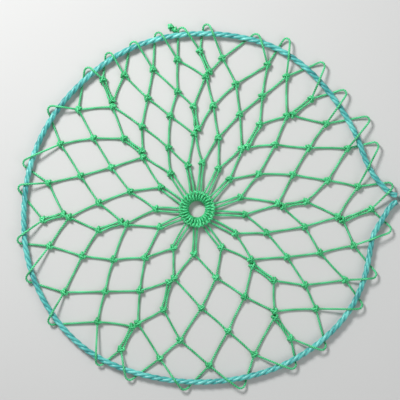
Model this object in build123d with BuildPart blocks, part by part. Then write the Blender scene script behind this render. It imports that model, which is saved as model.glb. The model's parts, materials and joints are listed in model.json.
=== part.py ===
from build123d import *
import math
import os

# Round knotted net with a draw rope, laid out flat. Millimetres and degrees.
# The origin is the centre of the eye, +Z is up, and azimuths run anticlockwise from +X.

# Driving dimensions
twine = 4.0
rope = 10.0
bore_radius = 13.5
hitch_section = 17.0
core_section = 9.0
hitch_count = 28
hitch_gap_angle = 0.5
core_gap = 0.1
land_depth = 0.35
knot_radius = 5.2
second_knot_spacing = 10.6
second_knot_turn = 32
strand_spacing = 52
loop_stand_off = 0.8
contact_gap = 0.02
running_gap = 0.3
bend_share = 0.45
crossing_gap = 0.7
crossing_over_gap = 1.8
loop_bend = 12
eye_gap = 0.6

# Heights, from the middle of the eye
rest_height = -hitch_section / 2
knot_height = rest_height + knot_radius
under_rope_height = rest_height + twine / 2
rope_height = under_rope_height + twine / 2 + rope / 2 + crossing_gap
over_rope_height = rope_height + rope / 2 + twine / 2 + crossing_over_gap

# Fold lines across the net, parallel to Y, one each side of the eye
right_fold = 174.5
left_fold = -187.5

# The seven doubled ridges of the net, clockwise.
# The gap after each ridge is the fan of mesh up to the next one.
ridges = (92, 53.5, 4, -43, -108.5, -168, -224)

# Each row of knots: how far across its gap each knot stands, then the radii of the knots in each gap.
row_1_shares = (0.217, 0.774)
row_1_radii = ((80, 79), (76, 77), (83, 78), (78, 77), (78, 71), (71, 73), (77, 77))
row_2_shares = (0, 0.48)
row_2_radii = ((129, 128), (129, 122), (139, 126), (127, 122), (125, 122), (123, 119), (129, 117))
row_3_shares = (0, 0.28, 0.68)
row_3_radii = (
    (177, 180, 179),
    (181, 174, 175),
    (188, 187, 175),
    (180, 171, 170),
    (182, 171, 168),
    (173, 169, 164),
    (175, 171, 167),
)
row_4_shares = (0.15, 0.5, 0.83)
row_4_radii = (
    (228, 225, 224),
    (222, 219, 230),
    (242, 224, 227),
    (220, 216, 227),
    (221, 212, 213),
    (220, 208, 216),
    (228, 209, 205),
)

# The edge row, four knots to a gap, laid by hand: azimuths and radii.
edge_azimuths = (
    (89, 80.5, 64, 56),
    (44, 33.5, 22, 8),
    (0, -13, -25.5, -40),
    (-54, -68.5, -85.5, -104),
    (-118.5, -131.5, -148, -166),
    (-176, -190, -205.5, -220),
    (-234, -241.5, -252.5, -262.5),
)
edge_radii = (
    (272, 263, 276, 275),
    (273, 266, 279, 279),
    (299, 276, 282, 266),
    (274, 268, 269, 264),
    (274, 258, 269, 261),
    (265, 259, 260, 266),
    (275, 262, 252, 259),
)

# The tip of the edge loop that follows each edge knot: azimuth and radius of its outermost point.
tip_azimuths = (
    (87, 71, 62, 49),
    (38.5, 28, 20, 7.3),
    (-6, -20.5, -30.5, -47.5),
    (-58.5, -76, -94, -112),
    (-122.5, -142.5, -157.5, -170),
    (-187, -195, -214.5, -232),
    (-240.5, -249, -257.5, -265),
)
tip_radii = (
    (317, 317, 331, 331),
    (325, 333, 329, 337),
    (334, 327, 328, 324),
    (319, 316, 310, 315),
    (316, 320, 316, 312),
    (308, 308, 308, 307),
    (308, 307, 310, 312),
)
tip_width = 8.5
tip_rise = 7

# The draw rope's route, anticlockwise from one side of its joining knot to the other: azimuth and radius.
beak_azimuth = 3
joining_knot_start = 345
joining_knot_length = 24
joining_knot_radius = 11
rope_route = (
    (3.9, 343),
    (4.5, 333),
    (7.2, 320),
    (11, 307),
    (17, 300),
    (25, 302),
    (38, 303),
    (52, 308),
    (65, 310),
    (78, 305),
    (91, 302),
    (104, 301),
    (117, 299),
    (130, 295),
    (143, 295),
    (156, 296),
    (169, 297),
    (182, 298),
    (195, 304),
    (208, 307),
    (221, 309),
    (234, 308.5),
    (247, 302),
    (260, 298),
    (273, 298),
    (286, 301),
    (299, 307),
    (312, 312),
    (325, 316),
    (336, 312.5),
    (345, 306),
    (351.5, 304),
    (356.8, 318),
    (361.5, 333),
    (362.1, 343),
)
tail_length = 26
tail_length_step = 4
tail_spread = 17
tail_gap = 1.6

# The end of the netting twine, tied off beside the last edge loop: two turns and a cut end
end_knot_radius = 4.2
end_knot_turns = ((97.1, 310.6), (98.0, 315.8))
end_tail_length = 3

# Fineness of the rope's centreline where the edge loops are fitted to it, and rounds of fitting
rope_steps = 600
crossing_rounds = 24
spreading_rounds = 400
spreading_share = 0.25


def polar(radius, azimuth, height):
    return Vector(
        radius * math.cos(math.radians(azimuth)),
        radius * math.sin(math.radians(azimuth)),
        height,
    )


def ridge_after(gap):
    """The azimuth of the ridge at the clockwise end of a gap."""
    return ridges[gap + 1] if gap + 1 < len(ridges) else ridges[0] - 360


def row_of_knots(shares, radii):
    """The centres of one row's knots, as one list for each gap."""
    row = []
    for gap, ridge in enumerate(ridges):
        span = ridge - ridge_after(gap)
        row.append([polar(r, ridge - s * span, knot_height) for s, r in zip(shares, radii[gap])])
    return row


def second_knot(first):
    """The knot that starts a doubled strand, beside the row's own knot."""
    azimuth = math.degrees(math.atan2(first.Y, first.X))
    return first + polar(second_knot_spacing, azimuth - second_knot_turn, 0)


row_1 = row_of_knots(row_1_shares, row_1_radii)
row_2 = row_of_knots(row_2_shares, row_2_radii)
row_3 = row_of_knots(row_3_shares, row_3_radii)
row_4 = row_of_knots(row_4_shares, row_4_radii)
row_5 = [
    [polar(r, a, knot_height) for a, r in zip(edge_azimuths[gap], edge_radii[gap])]
    for gap in range(len(ridges))
]
row_2_seconds = [second_knot(gap_knots[0]) for gap_knots in row_2]
row_4_seconds = [second_knot(gap_knots[0]) for gap_knots in row_4]


def flat(row):
    return [knot for gap_knots in row for knot in gap_knots]


def zone_of(x):
    """Which body a place belongs to, by the fold lines."""
    if x > right_fold:
        return "right"
    if x < left_fold:
        return "left"
    return "middle"


def split_at_folds(start, finish):
    """One straight bar as its pieces on each body, with the fold's clearance between them."""
    along = (finish - start).normalized()
    for fold in (right_fold, left_fold):
        if (start.X - fold) * (finish.X - fold) < 0:
            crossing = start + (finish - start) * ((fold - start.X) / (finish.X - start.X))
            return [
                (zone_of(start.X), start, crossing - along * running_gap),
                (zone_of(finish.X), crossing + along * running_gap, finish),
            ]
    return [(zone_of(start.X), start, finish)]


def tip_corners(position):
    """The two corners of an edge loop's tip, the low one before the high one."""
    azimuth = flat(tip_azimuths)[position]
    tip = polar(flat(tip_radii)[position], azimuth, rope_height)
    clockwise = polar(tip_width / 2, azimuth - 90, 0)
    rise = Vector(0, 0, tip_rise / 2)
    return tip - clockwise - rise, tip + clockwise + rise


def heading(start, finish):
    """The azimuth of the way from one place to another, in degrees."""
    return math.degrees(math.atan2(finish.Y - start.Y, finish.X - start.X))


def eye_hitch_places():
    """Where the two bars of each knot in the first row meet the eye, clockwise."""
    outer = bore_radius + hitch_section - land_depth + eye_gap
    pitch = 360 / hitch_count
    places = []
    for number, knot in enumerate(flat(row_1)):
        even = ridges[0] - row_1_shares[0] * (ridges[0] - ridges[1]) - number * 2 * pitch
        off_even = (heading(Vector(0, 0, 0), knot) - even + 180) % 360 - 180
        middle = even + off_even / 2
        places.append((polar(outer, middle + pitch / 2, 0), polar(outer, middle - pitch / 2, 0)))
    return places


def list_strands():
    """Every strand as [group, one end, other end, how far aside it starts].

    An end is a knot's centre or a place on the eye.
    """
    strands = []
    for knot, (left, right) in zip(flat(row_1), eye_hitch_places()):
        strands += [["eye_mesh", knot, left, 1], ["eye_mesh", knot, right, -1]]
    for gap in range(len(ridges)):
        after = (gap + 1) % len(ridges)
        singles = {
            "mesh_row_2": [
                (row_1[gap][0], row_2[gap][0]),
                (row_1[gap][0], row_2[gap][1]),
                (row_1[gap][1], row_2[gap][1]),
                (row_1[gap][1], row_2[after][0]),
            ],
            "mesh_row_3": [
                (row_2_seconds[gap], row_3[gap][1]),
                (row_2[gap][1], row_3[gap][1]),
                (row_2[gap][1], row_3[gap][2]),
                (row_2[after][0], row_3[gap][2]),
            ],
            "mesh_row_4": [
                (row_3[gap][0], row_4[gap][0]),
                (row_3[gap][1], row_4[gap][0]),
                (row_3[gap][1], row_4[gap][1]),
                (row_3[gap][2], row_4[gap][1]),
                (row_3[gap][2], row_4[gap][2]),
                (row_3[after][0], row_4[gap][2]),
            ],
            "mesh_row_5": [
                (row_4_seconds[gap], row_5[gap][1]),
                (row_4[gap][1], row_5[gap][1]),
                (row_4[gap][1], row_5[gap][2]),
                (row_4[gap][2], row_5[gap][2]),
                (row_4[gap][2], row_5[gap][3]),
                (row_4[after][0], row_5[gap][3]),
            ],
        }
        for group, pairs in singles.items():
            strands += [[group, inner, outer, 0] for inner, outer in pairs]
        for side in (1, -1):
            strands.append(["inner_doubled_strands", row_2_seconds[gap], row_3[gap][0], side])
            strands.append(["outer_doubled_strands", row_4_seconds[gap], row_5[gap][0], side])
    return strands


def list_loop_ends():
    """The two strands of each edge loop: out to the low side of its tip, and back from the high side."""
    knots = flat(row_5)
    ends = []
    for position, knot in enumerate(knots):
        low_tip, high_tip = tip_corners(position)
        ends.append(["edge_loops", knot, low_tip, 0])
        ends.append(["edge_loops", knots[(position + 1) % len(knots)], high_tip, 0])
    return ends


def spread(headings):
    """Headings of the strands round one knot, moved apart until none overlaps the next."""
    order = sorted(headings, key=lambda key: headings[key] % 360)
    wanted = [headings[key] % 360 for key in order]
    for _ in range(spreading_rounds):
        moves = [0.0] * len(wanted)
        for n in range(len(wanted)):
            after = (n + 1) % len(wanted)
            short = strand_spacing - (wanted[after] - wanted[n]) % 360
            if short > 0:
                moves[n] -= short * spreading_share
                moves[after] += short * spreading_share
        wanted = [way + move for way, move in zip(wanted, moves)]
    return dict(zip(order, wanted))


def attach(strands):
    """The place on each knot's surface where each strand ends, as {(strand number, end): place}."""
    round_knots = {}
    for number, (group, start, finish, aside) in enumerate(strands):
        for end, (here, there) in enumerate(((start, finish), (finish, start))):
            if tuple(here) in knot_places:
                way = heading(here, there) + aside * (1 if end == 0 else -1)
                round_knots.setdefault(tuple(here), {})[(number, end)] = way
    for first, second in zip([gap[0] for gap in row_2 + row_4], row_2_seconds + row_4_seconds):
        round_knots[tuple(first)]["neighbour"] = heading(first, second)
        round_knots[tuple(second)]["neighbour"] = heading(second, first)
    places = {}
    for place, headings in round_knots.items():
        for key, way in spread(headings).items():
            if key != "neighbour":
                number, end = key
                there = strands[number][2 - end]
                off_square = abs(math.radians(way - heading(Vector(*place), there)))
                stand_off = knot_radius + contact_gap + twine / 2 * abs(math.sin(off_square))
                stand_off += loop_stand_off if strands[number][0] == "edge_loops" else 0
                places[key] = Vector(*place) + polar(stand_off, way, 0)
    return places


def write(piece, name):
    piece.part.label = name
    export_step(piece.part, f"parts/{name}.step")
    print(name, len(piece.solids()), "solids")


def make_eye_core():
    """The ring that the eye is hitched over."""
    with BuildPart() as core:
        with BuildSketch(Plane.XZ):
            with Locations((bore_radius + hitch_section / 2 - land_depth, 0)):
                Circle(core_section / 2)
        revolve(axis=Axis.Z)
    return core


def make_eye_hitches():
    """Turns of twine round the core, side by side, each worn flat inside the bore."""
    arc = 360 / hitch_count - hitch_gap_angle
    with BuildPart() as hitch:
        with BuildSketch(Plane.XZ):
            with Locations((bore_radius + hitch_section / 2 - land_depth, 0)):
                Circle(hitch_section / 2)
                Circle(core_section / 2 + core_gap, mode=Mode.SUBTRACT)
            with Locations((bore_radius + hitch_section / 2, 0)):
                Rectangle(hitch_section, 2 * hitch_section, mode=Mode.INTERSECT)
        revolve(axis=Axis.Z, revolution_arc=arc)
    with BuildPart() as hitches:
        with PolarLocations(0, hitch_count):
            add(hitch.part)
    return hitches


def make_bars(bars):
    with BuildPart() as piece:
        for start, finish in bars:
            with BuildSketch(Plane(origin=start, z_dir=finish - start)):
                Circle(twine / 2)
            extrude(amount=(finish - start).length)
    return piece


def make_knots(centres):
    with BuildPart() as piece:
        with Locations(*centres):
            Sphere(knot_radius)
    return piece


def corner_radii(points):
    """As large an arc at each corner as its two runs allow."""
    radii = []
    for before, corner, after in zip(points, points[1:], points[2:]):
        shorter = min((corner - before).length, (after - corner).length)
        turn = math.radians((corner - before).get_angle(after - corner))
        radii.append(bend_share * shorter / math.tan(turn / 2))
    return radii


knot_rows = {
    1: flat(row_1),
    2: flat(row_2) + row_2_seconds,
    3: flat(row_3),
    4: flat(row_4) + row_4_seconds,
    5: flat(row_5),
}
knot_places = {tuple(knot) for row in knot_rows.values() for knot in row}
strands = list_strands()
first_loop_end = len(strands)
strand_places = attach(strands + list_loop_ends())

rope_points = [polar(radius, azimuth, rope_height) for azimuth, radius in rope_route]
rope_radii = corner_radii(rope_points)
with BuildLine() as rope_path:
    FilletPolyline(*rope_points, radius=rope_radii)
rope_places = [rope_path.wire().position_at(n / rope_steps) for n in range(rope_steps + 1)]
print("draw rope", round(rope_path.wire().length), "mm, smallest arc", round(min(rope_radii)), "mm")


def rope_radius_at(azimuth):
    """How far the rope's centreline is from the eye at an azimuth."""
    around = [(math.degrees(math.atan2(p.Y, p.X)) - beak_azimuth) % 360 for p in rope_places]
    wanted = (azimuth - beak_azimuth) % 360
    for n in range(rope_steps):
        if around[n] <= wanted <= around[n + 1]:
            share = (wanted - around[n]) / (around[n + 1] - around[n])
            low, high = rope_places[n], rope_places[n + 1]
            return math.hypot(low.X, low.Y) * (1 - share) + math.hypot(high.X, high.Y) * share
    return joining_knot_start


def rope_crossing(inside, outside, height):
    """Where a leg of an edge loop, seen from above, crosses the rope."""
    low, high = 0.0, 1.0
    for _ in range(crossing_rounds):
        share = (low + high) / 2
        place = inside + (outside - inside) * share
        azimuth = math.degrees(math.atan2(place.Y, place.X))
        if math.hypot(place.X, place.Y) < rope_radius_at(azimuth):
            low = share
        else:
            high = share
    place = inside + (outside - inside) * low
    return Vector(place.X, place.Y, height)


def loop_route(position):
    """From its knot under the rope, round outside it and back over it to the next knot."""
    low_tip, high_tip = tip_corners(position)
    start = strand_places[(first_loop_end + 2 * position, 0)]
    finish = strand_places[(first_loop_end + 2 * position + 1, 0)]
    under = rope_crossing(start, low_tip, under_rope_height)
    over = rope_crossing(finish, high_tip, over_rope_height)
    return [start, under, low_tip, high_tip, over, finish]


def keep_zone(zone):
    """Cuts the part being built at the fold lines and keeps the piece on one body."""
    if zone == "right":
        split(bisect_by=Plane(origin=(right_fold + running_gap, 0, 0), z_dir=(1, 0, 0)), keep=Keep.TOP)
    if zone == "left":
        split(bisect_by=Plane(origin=(left_fold - running_gap, 0, 0), z_dir=(-1, 0, 0)), keep=Keep.TOP)
    if zone in ("top", "bottom"):
        split(bisect_by=Plane(origin=(right_fold - running_gap, 0, 0), z_dir=(-1, 0, 0)), keep=Keep.TOP)
        split(bisect_by=Plane(origin=(left_fold + running_gap, 0, 0), z_dir=(1, 0, 0)), keep=Keep.TOP)


def in_zone(points, zone):
    """Whether any of a loop's points is on a body."""
    reached = {zone_of(point.X) for point in points}
    if zone in ("top", "bottom"):
        return "middle" in reached and (points[0].Y > 0) == (zone == "top")
    return zone in reached


def make_edge_loops(zone):
    with BuildPart() as loops:
        for position in range(len(flat(row_5))):
            points = loop_route(position)
            if not in_zone(points, zone):
                continue
            with BuildLine() as path:
                FilletPolyline(*points, radius=[min(r, loop_bend) for r in corner_radii(points)])
            with BuildSketch(path.line ^ 0) as section:
                Circle(twine / 2)
            sweep(sections=section.sketch, path=path.line)
        keep_zone(zone)
    return loops


def make_rope(zone):
    with BuildPart() as piece:
        with BuildSketch(rope_path.line ^ 0) as section:
            Circle(rope / 2)
        sweep(sections=section.sketch, path=rope_path.line)
        keep_zone(zone)
        if zone in ("top", "bottom"):
            side = 1 if zone == "top" else -1
            split(bisect_by=Plane(origin=(0, 0, 0), z_dir=(0, side, 0)), keep=Keep.TOP)
            split(bisect_by=Plane.YZ, keep=Keep.BOTH)
        if zone == "left":
            split(bisect_by=Plane.XZ, keep=Keep.BOTH)
    return piece


def make_joining_knot():
    """The knot that joins the rope's two ends, and the two short tails beyond it."""
    outward = polar(1, beak_azimuth, 0)
    height = rest_height + joining_knot_radius
    start = polar(joining_knot_start + contact_gap, beak_azimuth, height)
    with BuildPart() as knot:
        with BuildSketch(Plane(origin=start, z_dir=outward)):
            Circle(joining_knot_radius)
        extrude(amount=joining_knot_length)
        fillet(knot.edges(), radius=joining_knot_radius * bend_share)
    with BuildPart() as tails:
        for side in (1, -1):
            direction = polar(1, beak_azimuth + side * tail_spread, 0)
            foot = start + outward * (joining_knot_length + tail_gap)
            foot += polar(side * (rope / 2 + running_gap), beak_azimuth + 90, 0)
            with BuildSketch(Plane(origin=foot, z_dir=direction)):
                Circle(rope / 2)
            extrude(amount=tail_length + side * tail_length_step)
    return knot, tails


def make_end_knot():
    """The two turns and the cut end that finish the netting twine."""
    first, second = [polar(radius, azimuth, knot_height) for azimuth, radius in end_knot_turns]
    along = (second - first).normalized()
    with BuildPart() as knot:
        with Locations(first, second):
            Sphere(end_knot_radius)
        with BuildSketch(Plane(origin=second, z_dir=along)):
            Circle(twine / 2)
        extrude(amount=end_knot_radius + end_tail_length)
    return knot


def group_by_zone(pieces):
    """{zone: pieces} from (zone, ...) tuples."""
    groups = {}
    for zone, *piece in pieces:
        groups.setdefault(zone, []).append(piece)
    return groups


os.makedirs("parts", exist_ok=True)

write(make_eye_core(), "eye_core")
write(make_eye_hitches(), "eye_hitches")

for row, centres in knot_rows.items():
    for zone, group in group_by_zone([(zone_of(centre.X), centre) for centre in centres]).items():
        write(make_knots([centre for (centre,) in group]), f"{zone}_knots_row_{row}")

bars = {}
for number, (group, start, finish, _) in enumerate(strands):
    ends = strand_places[(number, 0)], strand_places.get((number, 1), finish)
    bars.setdefault(group, []).extend(split_at_folds(*ends))
for group, pieces in bars.items():
    for zone, zone_pieces in group_by_zone(pieces).items():
        name = group if group == "eye_mesh" else f"{zone}_{group}"
        write(make_bars(zone_pieces), name)

for zone in ("top", "bottom", "left", "right"):
    write(make_edge_loops(zone), f"{zone}_edge_loops")
    write(make_rope(zone), f"{zone}_draw_rope")

rope_knot, rope_tails = make_joining_knot()
write(rope_knot, "rope_joining_knot")
write(rope_tails, "rope_tails")
write(make_end_knot(), "twine_end_knot")
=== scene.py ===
import itertools
import json
import math
import random

import bpy
import numpy as np
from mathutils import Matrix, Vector


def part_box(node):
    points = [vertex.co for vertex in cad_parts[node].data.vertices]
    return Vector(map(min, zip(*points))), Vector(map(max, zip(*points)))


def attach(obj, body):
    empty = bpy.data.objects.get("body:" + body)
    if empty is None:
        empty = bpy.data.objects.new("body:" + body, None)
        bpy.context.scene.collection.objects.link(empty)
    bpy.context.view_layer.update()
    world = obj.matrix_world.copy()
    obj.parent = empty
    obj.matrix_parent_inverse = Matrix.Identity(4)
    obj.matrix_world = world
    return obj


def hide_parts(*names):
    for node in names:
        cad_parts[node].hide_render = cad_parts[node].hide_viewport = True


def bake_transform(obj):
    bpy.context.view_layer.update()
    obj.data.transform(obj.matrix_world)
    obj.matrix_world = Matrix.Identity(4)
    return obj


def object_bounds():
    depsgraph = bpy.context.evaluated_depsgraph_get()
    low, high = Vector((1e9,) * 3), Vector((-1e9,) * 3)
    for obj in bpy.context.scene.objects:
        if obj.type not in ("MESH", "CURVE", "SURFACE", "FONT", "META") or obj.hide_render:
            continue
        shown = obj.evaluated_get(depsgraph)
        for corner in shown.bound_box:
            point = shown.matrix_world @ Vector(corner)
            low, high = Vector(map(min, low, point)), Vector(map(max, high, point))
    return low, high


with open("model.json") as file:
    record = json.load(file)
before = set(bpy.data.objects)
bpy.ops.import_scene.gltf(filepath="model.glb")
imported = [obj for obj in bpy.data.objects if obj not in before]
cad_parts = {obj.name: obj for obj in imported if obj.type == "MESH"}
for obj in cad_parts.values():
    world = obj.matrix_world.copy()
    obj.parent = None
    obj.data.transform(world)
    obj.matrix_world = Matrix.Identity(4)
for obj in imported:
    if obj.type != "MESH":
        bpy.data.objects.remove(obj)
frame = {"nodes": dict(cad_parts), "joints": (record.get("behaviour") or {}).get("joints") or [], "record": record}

cad_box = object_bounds()
random.seed(11)

# Sizes in metres, the same as in the CAD model
MM = 0.001
TWINE = 4.0 * MM
ROPE = 10.0 * MM
KNOT_RADIUS = 5.2 * MM
FLOOR_Z = cad_box[0][2]
UNDER_Z = FLOOR_Z + TWINE * 0.52
ROPE_Z = sum(corner[2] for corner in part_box("top_draw_rope")) / 2
OVER_Z = ROPE_Z + ROPE / 2 + TWINE / 2

# The plies of twine and rope, and the length of one turn of them. The rope is laid the other way round.
PLIES = 3
TWINE_LAY = 13 * MM
ROPE_LAY = -45 * MM

# How far apart the rings of a tube's mesh stand
STRAND_STEP = 1.6 * MM
ROPE_STEP = 1.5 * MM
TAIL_STEP = 1.2 * MM
KNOT_STEP = 1.1 * MM
HITCH_STEP = 0.9 * MM

# The x of each fold, and how far from it the span noted for twine and rope across it reaches
FOLD_X = {joint["name"]: joint["pos_m"][0] for joint in frame["joints"]}
RIGHT_FOLD = FOLD_X["right_fold"]
LEFT_FOLD = FOLD_X["left_fold"]
TWINE_FOLD = 15 * MM
ROPE_FOLD = 15 * MM

# The draw rope's route, anticlockwise from one side of its joining knot to the other:
# azimuth in degrees, radius in mm
ROPE_ROUTE = (
    (3.9, 343), (4.5, 333), (7.2, 320), (11, 307), (17, 300), (25, 302), (38, 303),
    (52, 308), (65, 310), (78, 305), (91, 302), (104, 301), (117, 299), (130, 295),
    (143, 295), (156, 296), (169, 297), (182, 298), (195, 304), (208, 307), (221, 309),
    (234, 308.5), (247, 302), (260, 298), (273, 298), (286, 301), (299, 307), (312, 312),
    (325, 316), (336, 312.5), (345, 306), (351.5, 304), (356.8, 318), (361.5, 333), (362.1, 343),
)


def polar(radius, azimuth, height=0.0):
    """A place from its distance to the eye's axis, its azimuth in degrees and its height."""
    turn = math.radians(azimuth)
    return np.array([radius * math.cos(turn), radius * math.sin(turn), height])


def azimuth_of(place):
    return math.degrees(math.atan2(place[1], place[0]))


# ---------------------------------------------------------------- camera, floor and light

CAMERA_PLACE = (5.143 * MM, 15.771 * MM, 2.0)
VIEW_WIDTH = 685.71 * MM
SENSOR_WIDTH = 36.0


def make_camera():
    """Straight above the net, with VIEW_WIDTH of it from side to side at the height of the eye."""
    data = bpy.data.cameras.new("camera")
    data.sensor_width = SENSOR_WIDTH
    data.lens = SENSOR_WIDTH * CAMERA_PLACE[2] / VIEW_WIDTH
    camera = bpy.data.objects.new("camera", data)
    camera.location = CAMERA_PLACE
    bpy.context.scene.collection.objects.link(camera)
    bpy.context.scene.camera = camera


def make_stage():
    """A plain pale floor that the net lies on."""
    half = 3.0
    mesh = bpy.data.meshes.new("floor")
    corners = [(x, y, FLOOR_Z) for x, y in ((-half, -half), (half, -half), (half, half), (-half, half))]
    mesh.from_pydata(corners, [], [(0, 1, 2, 3)])
    floor = bpy.data.objects.new("floor", mesh)
    bpy.context.scene.collection.objects.link(floor)
    material = bpy.data.materials.new("floor")
    material.use_nodes = True
    shader = material.node_tree.nodes["Principled BSDF"]
    shader.inputs["Base Color"].default_value = (0.58, 0.58, 0.57, 1)
    shader.inputs["Roughness"].default_value = 0.9
    mesh.materials.append(material)


def make_lamp(name, place, size, power):
    """A round soft lamp that is aimed at the eye."""
    data = bpy.data.lights.new(name, "AREA")
    data.shape = "DISK"
    data.size = size
    data.energy = power
    lamp = bpy.data.objects.new(name, data)
    lamp.location = place
    lamp.rotation_euler = (-Vector(place)).to_track_quat("-Z", "Y").to_euler()
    bpy.context.scene.collection.objects.link(lamp)


def make_light():
    """A pale sky all round, a key lamp at the upper left and a weak one at the lower right."""
    world = bpy.data.worlds.new("studio")
    world.use_nodes = True
    sky = world.node_tree.nodes["Background"]
    sky.inputs["Color"].default_value = (0.95, 0.97, 1.0, 1)
    sky.inputs["Strength"].default_value = 0.34
    bpy.context.scene.world = world
    make_lamp("key", (-0.8, 1.1, 1.5), 0.6, 42)
    make_lamp("fill", (1.2, -0.6, 1.4), 1.4, 8)


# ---------------------------------------------------------------- reading the CAD solids

# The widest gap between the two halves of a strand that a fold line cuts
CUT_GAP = 1.2 * MM


def islands(node):
    """The vertices of each separate solid in a CAD node, as a list of arrays."""
    mesh = frame["nodes"][node].data
    places = np.empty(len(mesh.vertices) * 3)
    mesh.vertices.foreach_get("co", places)
    places = places.reshape(-1, 3)
    _, same = np.unique(np.round(places, 6), axis=0, return_inverse=True)
    same = same.reshape(-1)
    parent = np.arange(same.max() + 1)

    def top(n):
        while parent[n] != n:
            parent[n] = parent[parent[n]]
            n = parent[n]
        return n

    for edge in mesh.edges:
        a, b = top(same[edge.vertices[0]]), top(same[edge.vertices[1]])
        parent[a] = b
    roots = np.array([top(n) for n in same])
    return [places[roots == root] for root in np.unique(roots)]


def nodes_like(*endings):
    """The CAD nodes whose names end in one of the endings."""
    return [name for name in frame["nodes"] if name.endswith(endings)]


def ball_centres(node):
    return [(solid.min(0) + solid.max(0)) / 2 for solid in islands(node)]


def bar_ends(solid):
    """The centres of a straight bar's two end faces."""
    face_depth = 0.2 * MM
    _, _, axes = np.linalg.svd(solid - solid.mean(0))
    along = (solid - solid.mean(0)) @ axes[0]
    low = solid[along < along.min() + face_depth].mean(0)
    high = solid[along > along.max() - face_depth].mean(0)
    return low, high


def bars_in(group):
    """Both ends of every strand of a group, joined again where the fold lines cut it."""
    bars = []
    for node in nodes_like(group):
        for solid in islands(node):
            ends = bar_ends(solid)
            joined = False
            for bar, mine, theirs in itertools.product(bars, (0, 1), (0, 1)):
                if not joined and np.linalg.norm(ends[mine] - bar[theirs]) < CUT_GAP:
                    bar[theirs] = ends[1 - mine]
                    joined = True
            if not joined:
                bars.append(list(ends))
    return bars


# ---------------------------------------------------------------- laid twine and rope

def smooth_path(points, step):
    """A centripetal Catmull-Rom curve through the points, sampled about every step."""
    points = [np.asarray(p, float) for p in points]
    padded = [2 * points[0] - points[1], *points, 2 * points[-1] - points[-2]]
    made = []
    for a, b, c, d in zip(padded, padded[1:], padded[2:], padded[3:]):
        times = [0.0]
        for p, q in ((a, b), (b, c), (c, d)):
            times.append(times[-1] + max(np.linalg.norm(q - p), 1e-6) ** 0.5)
        t0, t1, t2, t3 = times
        count = max(2, int(np.linalg.norm(c - b) / step) + 1)
        for t in np.linspace(t1, t2, count, endpoint=False):
            ab = (t1 - t) / (t1 - t0) * a + (t - t0) / (t1 - t0) * b
            bc = (t2 - t) / (t2 - t1) * b + (t - t1) / (t2 - t1) * c
            cd = (t3 - t) / (t3 - t2) * c + (t - t2) / (t3 - t2) * d
            abc = (t2 - t) / (t2 - t0) * ab + (t - t0) / (t2 - t0) * bc
            bcd = (t3 - t) / (t3 - t1) * bc + (t - t1) / (t3 - t1) * cd
            made.append((t2 - t) / (t2 - t1) * abc + (t - t1) / (t2 - t1) * bcd)
    made.append(points[-1])
    return np.array(made)


def run_along(line):
    """How far along a line each of its points is."""
    return np.concatenate([[0], np.cumsum(np.linalg.norm(np.diff(line, axis=0), axis=1))])


def evenly(line, step):
    """The same line with points about a step apart."""
    run = run_along(line)
    at = np.linspace(0, run[-1], int(run[-1] / step) + 1)
    return np.stack([np.interp(at, run, line[:, k]) for k in range(3)], axis=1)


def axes_along(path):
    """Two axes square to the path at each of its points, turned as little as possible on the way."""
    ways = np.gradient(path, axis=0)
    ways /= np.linalg.norm(ways, axis=1)[:, None]
    side = np.cross(ways[0], [0, 0, 1])
    if np.linalg.norm(side) < 0.1:
        side = np.cross(ways[0], [1, 0, 0])
    side /= np.linalg.norm(side)
    sides = [side]
    for way in ways[1:]:
        side = side - way * (side @ way)
        side /= np.linalg.norm(side)
        sides.append(side)
    sides = np.array(sides)
    return sides, np.cross(ways, sides)


def ply_outline(angle):
    """The outline of round plies laid together, as a share of the whole radius. Angle 0 is a ply's crest."""
    centre, ply = 0.42, 0.58
    half = math.pi / PLIES
    off = (angle + half) % (2 * half) - half
    return centre * np.cos(off) + np.sqrt(np.maximum(ply**2 - (centre * np.sin(off)) ** 2, 0))


class Strands:
    """Collects laid tubes and makes them one mesh, with a UV map that runs along and round the plies."""

    def __init__(self):
        self.places, self.faces, self.uvs, self.count = [], [], [], 0

    def tube(self, path, radius, lay, sides=12, phase=0.0, start=0.0, closed_ends=True, taper=0.0):
        """A tube along the path. Its plies start turned by phase, and its length counts from start.
        Its ends are rounded off over the taper's length."""
        path = np.asarray(path)
        across, up = axes_along(path)
        run = run_along(path)
        along = start + run
        angles = np.arange(sides) / sides * 2 * math.pi
        turned = angles[None, :] + (along / lay * 2 * math.pi + phase)[:, None]
        ring = across[:, None, :] * np.cos(turned)[..., None] + up[:, None, :] * np.sin(turned)[..., None]
        size = np.ones(len(path))
        if taper:
            from_end = np.clip(np.minimum(run, run[-1] - run) / taper, 0, 1)
            size = np.sqrt(np.clip(1 - (1 - from_end) ** 2, 0.02, 1))
        reach = (ply_outline(angles) * radius)[None, :] * size[:, None]
        self.places.append((path[:, None, :] + ring * reach[..., None]).reshape(-1, 3))
        first = self.count
        rows = len(path)
        self.count += rows * sides
        for row in range(rows - 1):
            for n in range(sides):
                m = (n + 1) % sides
                a, b = first + row * sides, first + (row + 1) * sides
                self.faces.append((a + n, a + m, b + m, b + n))
                v0, v1 = n / sides, (n + 1) / sides
                self.uvs += [(along[row], v0), (along[row], v1), (along[row + 1], v1), (along[row + 1], v0)]
        if closed_ends:
            for row, order in ((0, -1), (rows - 1, 1)):
                self.faces.append(tuple(first + row * sides + n for n in range(sides))[::order])
                self.uvs += [(along[row], n / sides) for n in range(sides)][::order]

    def make(self, name, material):
        mesh = bpy.data.meshes.new(name)
        mesh.from_pydata(np.concatenate(self.places).tolist(), [], self.faces)
        layer = mesh.uv_layers.new(name="along")
        layer.data.foreach_set("uv", np.array(self.uvs, dtype=np.float32).reshape(-1))
        mesh.shade_smooth()
        mesh.validate()
        mesh.materials.append(material)
        piece = bpy.data.objects.new(name, mesh)
        bpy.context.scene.collection.objects.link(piece)
        return piece


# ---------------------------------------------------------------- materials

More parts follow.
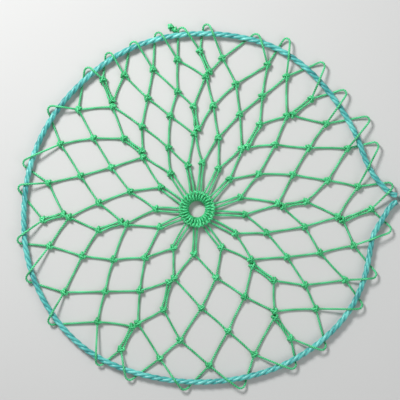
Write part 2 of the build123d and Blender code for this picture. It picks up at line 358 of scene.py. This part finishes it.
def fibre_material(name, deep, middle, light, patch_scale, roughness, filament_scale, painted_shade_depth):
    """Shiny laid fibre: three shades that follow the plies, fine filaments along them, painted shade in the
    grooves between them and a little painted highlight on their crests.
    """
    material = bpy.data.materials.new(name)
    material.use_nodes = True
    tree = material.node_tree
    shader = tree.nodes["Principled BSDF"]
    link = tree.links.new

    def noise(vector, scale, detail):
        made = tree.nodes.new("ShaderNodeTexNoise")
        link(vector, made.inputs["Vector"])
        made.inputs["Scale"].default_value = scale
        made.inputs["Detail"].default_value = detail
        return made.outputs["Fac"]

    def maths(operation, *values):
        """A math node's result, from numbers and other nodes' results."""
        made = tree.nodes.new("ShaderNodeMath")
        made.operation = operation
        for socket, value in zip(made.inputs, values):
            if isinstance(value, bpy.types.NodeSocket):
                link(value, socket)
            else:
                socket.default_value = value
        return made.outputs[0]

    def spread(value, from_low, from_high, to_low, to_high):
        """A value moved from one range to another, and kept inside it."""
        made = tree.nodes.new("ShaderNodeMapRange")
        link(value, made.inputs["Value"])
        made.inputs["From Min"].default_value = from_low
        made.inputs["From Max"].default_value = from_high
        made.inputs["To Min"].default_value = to_low
        made.inputs["To Max"].default_value = to_high
        return made.outputs["Result"]

    uv = tree.nodes.new("ShaderNodeUVMap")
    uv.uv_map = "along"
    scale = tree.nodes.new("ShaderNodeMapping")
    scale.inputs["Scale"].default_value = (filament_scale, PLIES * 6, 1)
    link(uv.outputs["UV"], scale.inputs["Vector"])
    filaments = noise(scale.outputs["Vector"], 3.0, 4.0)
    place = tree.nodes.new("ShaderNodeTexCoord")
    patches = noise(place.outputs["Object"], patch_scale, 3.0)
    mottle = maths("MULTIPLY_ADD", filaments, 0.55, maths("MULTIPLY", patches, 0.5))

    # 0 on the crest of a ply, 0.5 in the groove between two
    parts = tree.nodes.new("ShaderNodeSeparateXYZ")
    link(uv.outputs["UV"], parts.inputs[0])
    on_ply = maths("FRACT", maths("MULTIPLY_ADD", parts.outputs["Y"], PLIES, 0.5))
    from_crest = maths("ABSOLUTE", maths("SUBTRACT", on_ply, 0.5))
    # Painted shade: the colour goes darker towards the grooves between plies, and a little painted highlight
    # lightens their crests.
    painted_groove_shade = spread(from_crest, 0.2, 0.5, painted_shade_depth / 4, -painted_shade_depth)

    ramp = tree.nodes.new("ShaderNodeValToRGB")
    shades = ramp.color_ramp.elements
    shades[0].position = 0.34
    shades[0].color = (*deep, 1)
    shades[1].position = 0.72
    shades[1].color = (*light, 1)
    shades.new(0.52).color = (*middle, 1)
    link(maths("ADD", mottle, painted_groove_shade), ramp.inputs["Fac"])
    link(ramp.outputs["Color"], shader.inputs["Base Color"])
    link(spread(filaments, 0, 1, roughness - 0.1, roughness + 0.12), shader.inputs["Roughness"])

    bump = tree.nodes.new("ShaderNodeBump")
    bump.inputs["Strength"].default_value = 0.35
    bump.inputs["Distance"].default_value = 0.4 * MM
    link(filaments, bump.inputs["Height"])
    link(bump.outputs["Normal"], shader.inputs["Normal"])
    shader.inputs["Specular IOR Level"].default_value = 0.6
    shader.inputs["Coat Weight"].default_value = 0.15
    shader.inputs["Coat Roughness"].default_value = 0.2
    shader.inputs["Sheen Weight"].default_value = 0.1
    return material


twine_green = fibre_material(
    "twine_green", (0.004, 0.17, 0.05), (0.03, 0.60, 0.20), (0.15, 0.92, 0.44),
    patch_scale=60, roughness=0.32, filament_scale=220, painted_shade_depth=0.34,
)
# Painted light: the same twine green made a little lighter, so that the knots look brighter.
lit_knot_green = fibre_material(
    "lit_knot_green", (0.004, 0.18, 0.05), (0.03, 0.62, 0.20), (0.16, 0.94, 0.44),
    patch_scale=90, roughness=0.30, filament_scale=260, painted_shade_depth=0.3,
)
eye_green = fibre_material(
    "eye_green", (0.004, 0.16, 0.045), (0.025, 0.56, 0.18), (0.14, 0.92, 0.42),
    patch_scale=120, roughness=0.30, filament_scale=260, painted_shade_depth=0.2,
)
rope_teal = fibre_material(
    "rope_teal", (0.008, 0.15, 0.17), (0.05, 0.42, 0.39), (0.24, 0.78, 0.69),
    patch_scale=45, roughness=0.36, filament_scale=120, painted_shade_depth=0.1,
)


# ---------------------------------------------------------------- pieces, rigid on one body or unattached across a fold

# The body that each part of the net moves with
BODIES = {"middle": "middle", "right": "right_side", "left": "left_side"}
BODY_OF = {name: body for body, names in frame["record"]["behaviour"]["bodies"].items() for name in names}


def any_phase():
    """A random turn for the start of a tube's plies."""
    return random.uniform(0, 6)


def zone_of(place):
    """The part of the net that a place is on."""
    if place[0] > RIGHT_FOLD:
        return "right"
    return "left" if place[0] < LEFT_FOLD else "middle"


def fold_between(start, finish):
    """The x of the fold that two knots have between them."""
    return RIGHT_FOLD if max(start[0], finish[0]) > RIGHT_FOLD else LEFT_FOLD


def stand_for(strands, name, material, node):
    """A rigid piece that stands for one CAD node."""
    piece = strands.make(name, material)
    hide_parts(node)
    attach(piece, BODY_OF[node])


def add_strand(pieces, path, start, finish, way, bend_x):
    """Lay twine along a path: in its body's piece or, if its knots are on two bodies, in a piece of its own.
    That piece has the span along way, no further from bend_x than TWINE_FOLD and between the two knots, noted with
    it."""
    zone, bend = zone_of(start), None
    if zone != zone_of(finish):
        if zone != "middle":
            start, finish, way = finish, start, -way
        zone = zone_of(finish)
        share = (bend_x - start[0]) / way[0]
        reach = TWINE_FOLD / abs(way[0])
        bend = (zone, start + way * max(0, share - reach), start + way * min(1, share + reach))
        zone = f"bent_{zone}_{len(pieces)}"
    strands, _ = pieces.setdefault(zone, (Strands(), bend))
    strands.tube(path, TWINE / 2, TWINE_LAY, phase=any_phase())


def make_pieces(pieces, group, material):
    """The pieces that together stand for a group's CAD nodes, each rigid on one body, or left unattached where it
    spans two.
    """
    for zone, (strands, bend) in pieces.items():
        piece = strands.make(f"{group}_{zone}", material)
        if bend is None:
            bodies = [BODIES[zone]]
            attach(piece, bodies[0])
        else:
            side, start, end = bend
            bodies = ["middle", BODIES[side]]
            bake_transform(piece)
        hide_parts(*(name for name in nodes_like(group) if BODY_OF[name] in bodies))


# ---------------------------------------------------------------- mesh strands and knots

KNOT_NODES = nodes_like(*(f"knots_row_{row}" for row in (1, 2, 3, 4, 5)))
KNOTS = [centre for node in KNOT_NODES for centre in ball_centres(node)]

# How far a strand's middle is slack: down, in each kind of strand, and at most to one side
MESH_SAG = 2.2 * MM
DOUBLED_SAG = 1.4 * MM
EYE_LEG_SAG = 1 * MM
SIDE_SLACK = 0.8 * MM

# A strand shorter than FULL_SAG_LENGTH sags less. Its path has a point about every SAG_STEP.
FULL_SAG_LENGTH = 50 * MM
SAG_STEP = 12 * MM

# How far towards a knot's centre a strand goes on, as a share, and how far into the eye
KNOT_ENTRY = 0.75
EYE_ENTRY = 3 * MM

# A netting knot, in twine radii: along is away from the eye, across is clockwise, up is up
BIGHT = (
    (-2.3, -1.2, -0.5), (-1.2, -1.7, 0.2), (0.6, -1.75, 0.5), (1.9, -0.1, 0.7), (0.6, 1.7, 0.5),
    (-1.2, 1.6, 0.2), (-2.3, 1.1, -0.5),
)
WRAP = (
    (2.0, -1.3, -0.9), (1.2, -1.0, -0.9), (0.2, -0.2, 0.6), (-0.6, 0.6, 1.7), (-1.1, 2.0, 1.0),
    (-1.3, 2.2, -0.6), (-1.4, 0.0, -1.5), (-1.2, -2.2, -0.6), (-0.9, -2.1, 1.0), (-0.1, -0.9, 1.9),
    (0.9, 0.6, 1.6), (1.6, 1.3, 0.5), (2.1, 1.5, -0.7),
)


def strand_end(place, way):
    """The place inside its knot where a strand ends, or a little further on if it ends at the eye."""
    nearest = min(KNOTS, key=lambda centre: np.linalg.norm(centre - place))
    if np.linalg.norm(nearest - place) < 2 * KNOT_RADIUS:
        return place + (nearest - place) * KNOT_ENTRY
    return place + way / np.linalg.norm(way) * EYE_ENTRY


def strand_path(start, finish, sag, partner):
    """A strand between two knots, slack enough to rest on the ground, or against the other of its pair."""
    way = finish - start
    length = np.linalg.norm(way)
    square = np.cross(way / length, [0, 0, 1])
    aside = square * random.uniform(-SIDE_SLACK, SIDE_SLACK)
    if partner is not None:
        gap = ((partner[0] + partner[1]) / 2 - (start + finish) / 2) @ square
        aside = square * (gap - math.copysign(TWINE * 0.96, gap)) / 2
    drop = np.array([0, 0, -1.0]) * sag * min(1, length / FULL_SAG_LENGTH)
    path = [strand_end(start, -way)]
    for share in np.linspace(0, 1, max(4, int(length / SAG_STEP))):
        path.append(start + way * share + (drop + aside) * 4 * share * (1 - share))
    path.append(strand_end(finish, way))
    return smooth_path(path, STRAND_STEP)


def make_strands(group, sag):
    """All the strands of one group. Those of a doubled group lie in pairs."""
    pieces = {}
    bars = bars_in(group)
    for start, finish in bars:
        partner = None
        if group.endswith("doubled_strands"):
            middle = (start + finish) / 2
            others = [bar for bar in bars if bar[0] is not start]
            partner = min(others, key=lambda bar: np.linalg.norm((bar[0] + bar[1]) / 2 - middle))
        path = strand_path(start, finish, sag, partner)
        add_strand(pieces, path, start, finish, finish - start, fold_between(start, finish))
    make_pieces(pieces, group, twine_green)


def tie_knot(strands, centre, outward, size):
    """One netting knot: a bight, and the twine that goes up through it and round behind it."""
    turn = math.radians(outward)
    along = np.array([math.cos(turn), math.sin(turn), 0])
    across = np.array([math.sin(turn), -math.cos(turn), 0])
    up = np.array([0, 0, 1])
    for points in (BIGHT, WRAP):
        path = [centre + size * (a * along + c * across + u * up) for a, c, u in points]
        path = smooth_path(path, KNOT_STEP)
        strands.tube(path, TWINE / 2 * 0.98, TWINE_LAY * 0.8, sides=9, phase=any_phase(), taper=1.6 * MM)


def make_knots():
    """Every ball of the CAD model as a tied knot, one piece to a node. No two are turned or sized alike."""
    lift = np.array([0, 0, 0.3 * MM])
    for node in KNOT_NODES:
        knots = Strands()
        for centre in ball_centres(node):
            turn = azimuth_of(centre) + random.uniform(-22, 22)
            size = TWINE / 2 * random.uniform(1.1, 1.22)
            tie_knot(knots, centre + lift, turn, size)
        stand_for(knots, f"tied_{node}", lit_knot_green, node)


def make_end_knot():
    """The netting twine's end: two knots tied one after the other, and the cut end."""
    low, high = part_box("twine_end_knot")
    radius = (high[2] - low[2]) / 2
    right = np.array([high[0] - radius, low[1] + radius, (low[2] + high[2]) / 2])
    left = np.array([low[0] + radius, high[1] - radius, right[2]])
    way = (left - right) / np.linalg.norm(left - right)
    left -= way * 1.5 * MM
    size = TWINE / 2 * 0.82
    strands = Strands()
    tie_knot(strands, right, azimuth_of(way) + 160, size)
    tie_knot(strands, left, azimuth_of(way) - 30, size)
    droop = np.array([0, 0, 1 * MM])
    stub = [left, left + way * 3 * MM, left + way * (radius + 2 * MM) - droop]
    strands.tube(smooth_path(stub, TAIL_STEP), TWINE / 2, TWINE_LAY, taper=0.8 * MM)
    stand_for(strands, "twine_end", lit_knot_green, "twine_end_knot")


# ---------------------------------------------------------------- the eye

EYE_TURNS = 28
EYE_PITCH = 360 / EYE_TURNS

# A hitch over the gap between two turns: away from the eye in twine radii, round it as a share of the
# turns' pitch, up in twine radii
HITCH = (
    (-1.6, -0.42, -0.6), (-0.4, -0.40, 0.2), (1.0, -0.22, 0.3), (1.6, 0.0, -0.3), (1.0, 0.22, 0.3),
    (-0.4, 0.40, 0.2), (-1.6, 0.42, -0.6),
)


def add_eye_turns(strands, ring, section):
    """Full turns of twine side by side round the eye's ring, each a little out of true."""
    twine_radius = TWINE / 2 * 1.12
    turn_radius = section - twine_radius
    lean = 3
    for n in range(EYE_TURNS):
        azimuth = n * EYE_PITCH + random.uniform(-0.7, 0.7)
        path = []
        for angle in np.linspace(0, 2 * math.pi, 25):
            radius = ring + turn_radius * math.cos(angle)
            path.append(polar(radius, azimuth + lean * math.sin(angle), turn_radius * math.sin(angle)))
        strands.tube(path, twine_radius, TWINE_LAY, sides=9, phase=n, closed_ends=False)


def add_eye_hitches(strands, ring, section):
    """A row of small hitches on the outer shoulder of the eye's turns."""
    for n in range(EYE_TURNS):
        azimuth = (n + 0.5) * EYE_PITCH
        path = []
        for forward, sideways, up in HITCH:
            radius = ring + section * 0.68 + forward * TWINE / 2
            path.append(polar(radius, azimuth + sideways * EYE_PITCH, section * 0.72 + up * TWINE / 2))
        path = smooth_path(path, HITCH_STEP)
        strands.tube(path, TWINE / 2 * 0.9, TWINE_LAY, sides=9, phase=n, taper=1.2 * MM)


def make_eye():
    """Twine hitched over the eye's ring, and the ring inside it."""
    low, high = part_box("eye_hitches")
    section = (high[2] - low[2]) / 2
    turns = Strands()
    add_eye_turns(turns, high[0] - section, section)
    add_eye_hitches(turns, high[0] - section, section)
    stand_for(turns, "eye_turns", eye_green, "eye_hitches")

    low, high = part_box("eye_core")
    section = (high[2] - low[2]) / 2
    core = Strands()
    core.tube([polar(high[0] - section, azimuth) for azimuth in range(0, 361, 4)], section, 24 * MM, sides=18)
    stand_for(core, "eye_ring", eye_green, "eye_core")


def make_eye_legs():
    """The two legs from each knot of the first row to the eye."""
    legs = Strands()
    for start, finish in bars_in("eye_mesh"):
        path = strand_path(start, finish, EYE_LEG_SAG, None)
        legs.tube(path, TWINE / 2, TWINE_LAY, phase=any_phase())
    stand_for(legs, "eye_legs", twine_green, "eye_mesh")


# ---------------------------------------------------------------- the draw rope

def make_rope_path():
    """The rope's centreline, read from a NURBS spline through its route."""
    curve = bpy.data.curves.new("rope_route", "CURVE")
    curve.dimensions = "3D"
    curve.resolution_u = 24
    spline = curve.splines.new("NURBS")
    spline.points.add(len(ROPE_ROUTE) - 1)
    for point, (azimuth, radius) in zip(spline.points, ROPE_ROUTE):
        point.co = (*polar(radius * MM, azimuth, ROPE_Z), 1)
    spline.order_u = 3
    spline.use_endpoint_u = True
    holder = bpy.data.objects.new("rope_route", curve)
    mesh = bpy.data.meshes.new_from_object(holder)
    line = np.array([v.co for v in mesh.vertices])
    bpy.data.objects.remove(holder)
    bpy.data.meshes.remove(mesh)
    return line


def make_rope(line):
    """The draw rope in a right and a left piece, with its lay running on from one to the other."""
    path = evenly(line, ROPE_STEP)
    pieces = {}
    for side, fold, way in (("right", RIGHT_FOLD, 1), ("left", LEFT_FOLD, -1)):
        start, end = (fold - way * ROPE_FOLD, 0, 0), (fold + way * ROPE_FOLD, 0, 0)
        pieces[f"across_{side}"] = (Strands(), (side, start, end))
    sides = ["across_right" if place[0] > 0 else "across_left" for place in path]
    first = 0
    while first < len(path) - 1:
        last = first + 1
        while last < len(path) - 1 and sides[last] == sides[first]:
            last += 1
        strands, _ = pieces[sides[first]]
        strands.tube(path[first : last + 1], ROPE / 2, ROPE_LAY, sides=24, start=first * ROPE_STEP)
        first = last
    make_pieces(pieces, "draw_rope", rope_teal)


def make_rope_knot():
    """The two turns in which one end of the rope takes the other."""
    low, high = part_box("rope_joining_knot")
    centre = (np.array(low) + np.array(high)) / 2
    along = polar(1, azimuth_of(centre))
    across = polar(1, azimuth_of(centre) + 90)
    up = np.array([0, 0, 1.0])
    length = 12 * MM
    turns = 2
    swing = (high[2] - low[2]) / 2 - ROPE / 2 * 0.98
    path = []
    for share in np.linspace(0, 1, 61):
        angle = share * turns * 2 * math.pi
        out = (across * math.cos(angle) + up * math.sin(angle)) * swing
        path.append(centre + along * (share - 0.5) * length + out)
    knot = Strands()
    knot.tube(path, ROPE / 2, ROPE_LAY, sides=18, taper=3 * MM)
    stand_for(knot, "rope_knot", rope_teal, "rope_joining_knot")


def make_rope_tails():
    """The rope's two cut ends, each from inside the joining knot."""
    low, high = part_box("rope_joining_knot")
    along = polar(1, azimuth_of((np.array(low) + np.array(high)) / 2))
    tails = Strands()
    for solid in islands("rope_tails"):
        near, far = sorted(bar_ends(solid), key=lambda place: math.hypot(place[0], place[1]))
        path = evenly(np.array([near - along * 6 * MM, far]), TAIL_STEP)
        tails.tube(path, ROPE / 2 * 0.97, ROPE_LAY, sides=18, taper=2.5 * MM)
    stand_for(tails, "rope_tail_ends", rope_teal, "rope_tails")


# ---------------------------------------------------------------- the edge loops

# The width of a loop's round tip where its legs are parallel, how much its radius grows with each radian
# between them, and how far it rises from its middle to where it goes over the rope
TIP_WIDTH = 8.5 * MM
TIP_GROWTH = 2.6 * MM
TIP_RISE = 2.4 * MM

# A loop's leg turns towards the height at which it passes the rope so far before it, and leaves that height
# at most so far beyond it
LEG_BEFORE = 8 * MM
LEG_BEYOND = 6 * MM


def crossing(line, inside, outside):
    """Where the way from inside to outside, or a little further on, crosses the rope, seen from above.
    A way that misses it counts as crossing three quarters of the way out."""
    way = (outside - inside)[:2]
    nearest = None
    for a, b in zip(line, line[1:]):
        edge = (b - a)[:2]
        cross = way[0] * edge[1] - way[1] * edge[0]
        if abs(cross) < 1e-12:
            continue
        gap = (a - inside)[:2]
        on_way = (gap[0] * edge[1] - gap[1] * edge[0]) / cross
        on_edge = (gap[0] * way[1] - gap[1] * way[0]) / cross
        if 0 <= on_way <= 1.3 and -0.01 <= on_edge <= 1.01 and (nearest is None or on_way < nearest):
            nearest = on_way
    return inside + (outside - inside) * (nearest if nearest is not None else 0.75)


def leg_past_rope(line, knot, corner, height, rise):
    """The places where a loop's leg comes up to the rope, passes it at a height and leaves it for the tip."""
    at_rope = crossing(line, knot, corner)
    way = corner - knot
    way[2] = 0
    way /= np.linalg.norm(way)
    beyond = min(LEG_BEYOND, 0.5 * np.linalg.norm((corner - at_rope)[:2]))
    made = []
    for reach, lift in ((-LEG_BEFORE, rise), (0, 0), (beyond, rise / 2)):
        place = at_rope + way * reach
        made.append(np.array([place[0], place[1], height + lift]))
    return made


def loop_round(line, start, tip, finish):
    """Under the rope, round outside it in an arc that both legs run straight into, and back over it."""
    legs = []
    for knot in (start, finish):
        leg = (crossing(line, knot, tip) - tip) * (1, 1, 0)
        legs.append(leg / np.linalg.norm(leg))
    inward = legs[0] + legs[1]
    inward /= np.linalg.norm(inward)
    between = math.acos(max(-1, min(1, legs[0] @ legs[1])))
    radius = TIP_WIDTH / 2 + TIP_GROWTH * between
    centre = tip + inward * radius
    aside = legs[1] - inward * (legs[1] @ inward)
    if np.linalg.norm(aside) < 0.05:
        aside = polar(1, azimuth_of(tip) - 90)
    aside /= np.linalg.norm(aside)
    widest = (math.pi - between) / 2
    arc = []
    for share in (-1, -0.6, -0.2, 0.2, 0.6, 1):
        place = centre + radius * (aside * math.sin(share * widest) - inward * math.cos(share * widest))
        arc.append(place + np.array([0, 0, share * TIP_RISE]))
    under = leg_past_rope(line, start, arc[0], UNDER_Z, rise=0.8 * MM)
    over = leg_past_rope(line, finish, arc[-1], OVER_Z, rise=-2 * MM)
    return [*under, *arc, *reversed(over)]


def loop_tips():
    """The outermost place of each edge loop, in order of azimuth. A half cut off by a fold has none."""
    tips = []
    for node in nodes_like("edge_loops"):
        for solid in islands(node):
            far = solid[np.hypot(solid[:, 0], solid[:, 1]).argmax()]
            if min(abs(far[0] - RIGHT_FOLD), abs(far[0] - LEFT_FOLD)) > 0.8 * MM:
                tips.append(far * (1 - TWINE / 2 / math.hypot(far[0], far[1])))
    return sorted(tips, key=azimuth_of)


def make_loops(line):
    """The edge loops, each from the knot on one side of its tip to the knot on the other.
    A loop whose tip is close to a fold has the span noted with its piece put on the leg that crosses it."""
    knots = sorted((c for node in nodes_like("knots_row_5") for c in ball_centres(node)), key=azimuth_of)
    pieces = {}
    for tip in loop_tips():
        turns = [(azimuth_of(knot) - azimuth_of(tip)) % 360 for knot in knots]
        start_number = turns.index(min(turns))
        start = knots[start_number]
        finish = knots[(start_number - 1) % len(knots)]
        tip = np.array([tip[0], tip[1], ROPE_Z])
        path = smooth_path([start, *loop_round(line, start, tip, finish), finish], STRAND_STEP)
        bend_x = fold_between(start, finish)
        if abs(tip[0] - bend_x) < TWINE_FOLD:
            far_knot = finish if zone_of(start) == zone_of(tip) else start
            bend_x = (tip[0] + far_knot[0]) / 2
        way = np.array([finish[0] - start[0], 0, 0])
        add_strand(pieces, path, start, finish, way, bend_x)
    make_pieces(pieces, "edge_loops", twine_green)


make_camera()
make_stage()
make_light()
bpy.context.scene.view_settings.view_transform = "Standard"

rope_line = make_rope_path()
make_rope(rope_line)
make_rope_knot()
make_rope_tails()
make_loops(rope_line)
make_eye()
make_eye_legs()
for mesh_row in (2, 3, 4, 5):
    make_strands(f"mesh_row_{mesh_row}", MESH_SAG)
make_strands("inner_doubled_strands", DOUBLED_SAG)
make_strands("outer_doubled_strands", DOUBLED_SAG)
make_knots()
make_end_knot()
